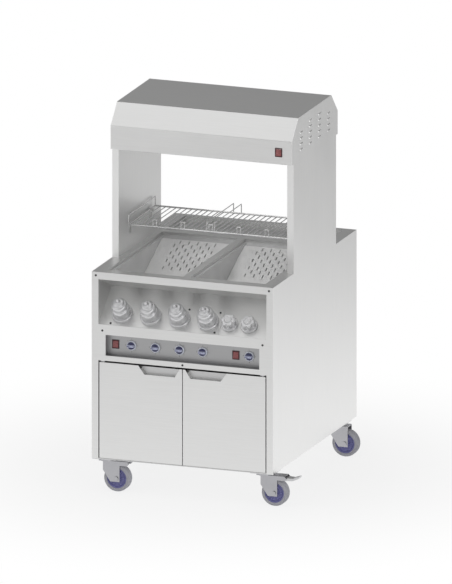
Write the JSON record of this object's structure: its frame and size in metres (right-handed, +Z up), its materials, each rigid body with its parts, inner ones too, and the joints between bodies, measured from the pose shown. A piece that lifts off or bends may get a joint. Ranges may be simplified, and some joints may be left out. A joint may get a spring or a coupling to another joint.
{
  "type": "chip warmer",
  "caption": "Mobile catering chip dump with heated hood, wire carton rack, sauce pump bar, recessed controls and a castor cabinet with double doors.",
  "frame": {"origin": "on the floor under the middle of the cabinet", "axes": "+X right seen from the front, front faces -Y, +Z up"},
  "size_m": [0.876, 0.9275, 1.396],
  "materials": {
    "satin_steel": "satin brushed stainless sheet",
    "inner_steel": "plain stainless sheet",
    "pan_steel": "bead-blasted stainless pan",
    "control_steel": "dark brushed stainless",
    "zinc_steel": "zinc-plated pressed steel",
    "bright_wire": "polished wire",
    "screw_steel": "blackened screw heads",
    "head_plastic": "pale grey moulded plastic",
    "collar_plastic": "pale grey moulded plastic",
    "cap_plastic": "glossy white moulded plastic",
    "knob_plastic": "navy moulded plastic with a pale ring",
    "rocker_plastic": "translucent red rocker",
    "switch_plastic": "dark red moulded frame",
    "thermostat_steel": "plain casing",
    "heater_mat": "silicone heating mat",
    "heater_ceramic": "glazed ceramic",
    "gland_plastic": "black moulded nylon",
    "hub_plastic": "blue moulded plastic",
    "tyre_rubber": "grey non-marking rubber"
  },
  "bodies": {
    "cabinet": {"base_tray": "inner_steel", "side_panel_left": "satin_steel", "side_panel_right": "satin_steel", "pylon_liners": "satin_steel", "back_panel": "inner_steel", "front_frame": "satin_steel", "deck_top": "satin_steel", "dispenser_panel": "satin_steel", "dispenser_plate": "satin_steel", "pump_collars": "collar_plastic", "sauce_jars": "pan_steel", "control_panel": "control_steel", "thermostats": "thermostat_steel", "electrics_tray": "inner_steel", "bin_heaters": "heater_mat", "hood_shell": "satin_steel", "hood_reflector": "inner_steel", "ceramic_heaters": "heater_ceramic", "heater_guard": "bright_wire", "wire_rack": "bright_wire", "rack_hooks": "bright_wire", "hinge_pins": "zinc_steel", "castor_plates": "zinc_steel", "cable_gland": "gland_plastic", "screws": "screw_steel", "switch_frames": "switch_plastic"},
    "door_left": {"door_left": "satin_steel"},
    "scuttle_left": {"scuttle_left": "pan_steel"},
    "drain_left": {"drain_plate_left": "pan_steel"},
    "door_right": {"door_right": "satin_steel"},
    "scuttle_right": {"scuttle_right": "pan_steel"},
    "drain_right": {"drain_plate_right": "pan_steel"},
    "pump_1": {"pump_head_1": "head_plastic"},
    "pump_2": {"pump_head_2": "head_plastic"},
    "pump_3": {"pump_head_3": "head_plastic"},
    "pump_4": {"pump_head_4": "head_plastic"},
    "cap_1": {"star_cap_1": "cap_plastic"},
    "cap_2": {"star_cap_2": "cap_plastic"},
    "knob_1": {"knob_1": "knob_plastic"},
    "knob_2": {"knob_2": "knob_plastic"},
    "knob_3": {"knob_3": "knob_plastic"},
    "knob_4": {"knob_4": "knob_plastic"},
    "knob_5": {"knob_5": "knob_plastic"},
    "rocker_1": {"rocker_1": "rocker_plastic"},
    "rocker_2": {"rocker_2": "rocker_plastic"},
    "rocker_3": {"rocker_3": "rocker_plastic"},
    "castor_front_left": {"castor_fork_front_left": "zinc_steel"},
    "wheel_front_left": {"wheel_core_front_left": "hub_plastic", "tyre_front_left": "tyre_rubber"},
    "castor_front_right": {"castor_fork_front_right": "zinc_steel"},
    "wheel_front_right": {"wheel_core_front_right": "hub_plastic", "tyre_front_right": "tyre_rubber"},
    "pedal_front_right": {"brake_pedal_front_right": "zinc_steel"},
    "castor_rear_left": {"castor_fork_rear_left": "zinc_steel"},
    "wheel_rear_left": {"wheel_core_rear_left": "hub_plastic", "tyre_rear_left": "tyre_rubber"},
    "pedal_rear_left": {"brake_pedal_rear_left": "zinc_steel"},
    "castor_rear_right": {"castor_fork_rear_right": "zinc_steel"},
    "wheel_rear_right": {"wheel_core_rear_right": "hub_plastic", "tyre_rear_right": "tyre_rubber"}
  },
  "joints": [
    {"name": "door_left_hinge", "type": "hinge", "parent": "cabinet", "child": "door_left", "pos_m": [-0.308, -0.438, 0.31], "axis": [0, 0, -1], "range_deg": [0, 110]},
    {"name": "scuttle_left_lift", "type": "slide", "parent": "cabinet", "child": "scuttle_left", "axis": [0, 0, 1], "range_m": [0, 0.08]},
    {"name": "drain_left_lift", "type": "slide", "parent": "scuttle_left", "child": "drain_left", "axis": [0, 0, 1], "range_m": [0, 0.02]},
    {"name": "door_right_hinge", "type": "hinge", "parent": "cabinet", "child": "door_right", "pos_m": [0.308, -0.438, 0.31], "axis": [0, 0, 1], "range_deg": [0, 110]},
    {"name": "scuttle_right_lift", "type": "slide", "parent": "cabinet", "child": "scuttle_right", "axis": [0, 0, 1], "range_m": [0, 0.08]},
    {"name": "drain_right_lift", "type": "slide", "parent": "scuttle_right", "child": "drain_right", "axis": [0, 0, 1], "range_m": [0, 0.02]},
    {"name": "pump_1_press", "type": "slide", "parent": "cabinet", "child": "pump_1", "axis": [0, 0.6691, -0.7431], "range_m": [0, 0.02], "stiffness_N_per_m": 300, "springref_m": -0.01},
    {"name": "pump_2_press", "type": "slide", "parent": "cabinet", "child": "pump_2", "axis": [0, 0.6691, -0.7431], "range_m": [0, 0.02], "stiffness_N_per_m": 300, "springref_m": -0.01},
    {"name": "pump_3_press", "type": "slide", "parent": "cabinet", "child": "pump_3", "axis": [0, 0.6691, -0.7431], "range_m": [0, 0.02], "stiffness_N_per_m": 300, "springref_m": -0.01},
    {"name": "pump_4_press", "type": "slide", "parent": "cabinet", "child": "pump_4", "axis": [0, 0.6691, -0.7431], "range_m": [0, 0.02], "stiffness_N_per_m": 300, "springref_m": -0.01},
    {"name": "cap_1_turn", "type": "hinge", "parent": "cabinet", "child": "cap_1", "pos_m": [0.166, -0.39605, 0.66032], "axis": [0, -0.6691, 0.7431], "range_deg": [0, 330]},
    {"name": "cap_2_turn", "type": "hinge", "parent": "cabinet", "child": "cap_2", "pos_m": [0.241, -0.39605, 0.66032], "axis": [0, -0.6691, 0.7431], "range_deg": [0, 330]},
    {"name": "knob_1_turn", "type": "hinge", "parent": "cabinet", "child": "knob_1", "pos_m": [-0.2065, -0.4155, 0.553], "axis": [0, 1, 0], "range_deg": [0, 270]},
    {"name": "knob_2_turn", "type": "hinge", "parent": "cabinet", "child": "knob_2", "pos_m": [-0.1143, -0.4155, 0.553], "axis": [0, 1, 0], "range_deg": [0, 270]},
    {"name": "knob_3_turn", "type": "hinge", "parent": "cabinet", "child": "knob_3", "pos_m": [-0.021, -0.4155, 0.553], "axis": [0, 1, 0], "range_deg": [0, 270]},
    {"name": "knob_4_turn", "type": "hinge", "parent": "cabinet", "child": "knob_4", "pos_m": [0.0681, -0.4155, 0.553], "axis": [0, 1, 0], "range_deg": [0, 270]},
    {"name": "knob_5_turn", "type": "hinge", "parent": "cabinet", "child": "knob_5", "pos_m": [0.2483, -0.4155, 0.553], "axis": [0, 1, 0], "range_deg": [0, 270]},
    {"name": "rocker_1_tilt", "type": "hinge", "parent": "cabinet", "child": "rocker_1", "pos_m": [-0.2675, -0.4125, 0.553], "axis": [1, 0, 0], "range_deg": [0, 13]},
    {"name": "rocker_2_tilt", "type": "hinge", "parent": "cabinet", "child": "rocker_2", "pos_m": [0.1962, -0.4125, 0.553], "axis": [1, 0, 0], "range_deg": [0, 13]},
    {"name": "rocker_3_tilt", "type": "hinge", "parent": "cabinet", "child": "rocker_3", "pos_m": [0.2983, -0.24, 1.279], "axis": [1, 0, 0], "range_deg": [0, 13]},
    {"name": "swivel_front_left", "type": "hinge", "parent": "cabinet", "child": "castor_front_left", "pos_m": [-0.304, -0.4, 0.115], "axis": [0, 0, 1], "continuous": true},
    {"name": "roll_front_left", "type": "hinge", "parent": "castor_front_left", "child": "wheel_front_left", "pos_m": [-0.2635, -0.4, 0.05], "axis": [0, 1, 0], "continuous": true},
    {"name": "swivel_front_right", "type": "hinge", "parent": "cabinet", "child": "castor_front_right", "pos_m": [0.304, -0.4, 0.115], "axis": [0, 0, 1], "continuous": true},
    {"name": "roll_front_right", "type": "hinge", "parent": "castor_front_right", "child": "wheel_front_right", "pos_m": [0.3445, -0.4, 0.05], "axis": [0, 1, 0], "continuous": true},
    {"name": "pedal_front_right_press", "type": "hinge", "parent": "castor_front_right", "child": "pedal_front_right", "pos_m": [0.366, -0.4, 0.104], "axis": [0, 1, 0], "range_deg": [0, 8]},
    {"name": "swivel_rear_left", "type": "hinge", "parent": "cabinet", "child": "castor_rear_left", "pos_m": [-0.304, 0.35, 0.115], "axis": [0, 0, 1], "continuous": true},
    {"name": "roll_rear_left", "type": "hinge", "parent": "castor_rear_left", "child": "wheel_rear_left", "pos_m": [-0.3445, 0.35, 0.05], "axis": [0, 1, 0], "continuous": true},
    {"name": "pedal_rear_left_press", "type": "hinge", "parent": "castor_rear_left", "child": "pedal_rear_left", "pos_m": [-0.366, 0.35, 0.104], "axis": [0, -1, 0], "range_deg": [0, 8]},
    {"name": "swivel_rear_right", "type": "hinge", "parent": "cabinet", "child": "castor_rear_right", "pos_m": [0.304, 0.35, 0.115], "axis": [0, 0, 1], "continuous": true},
    {"name": "roll_rear_right", "type": "hinge", "parent": "castor_rear_right", "child": "wheel_rear_right", "pos_m": [0.3445, 0.35, 0.05], "axis": [0, 1, 0], "continuous": true}
  ]
}
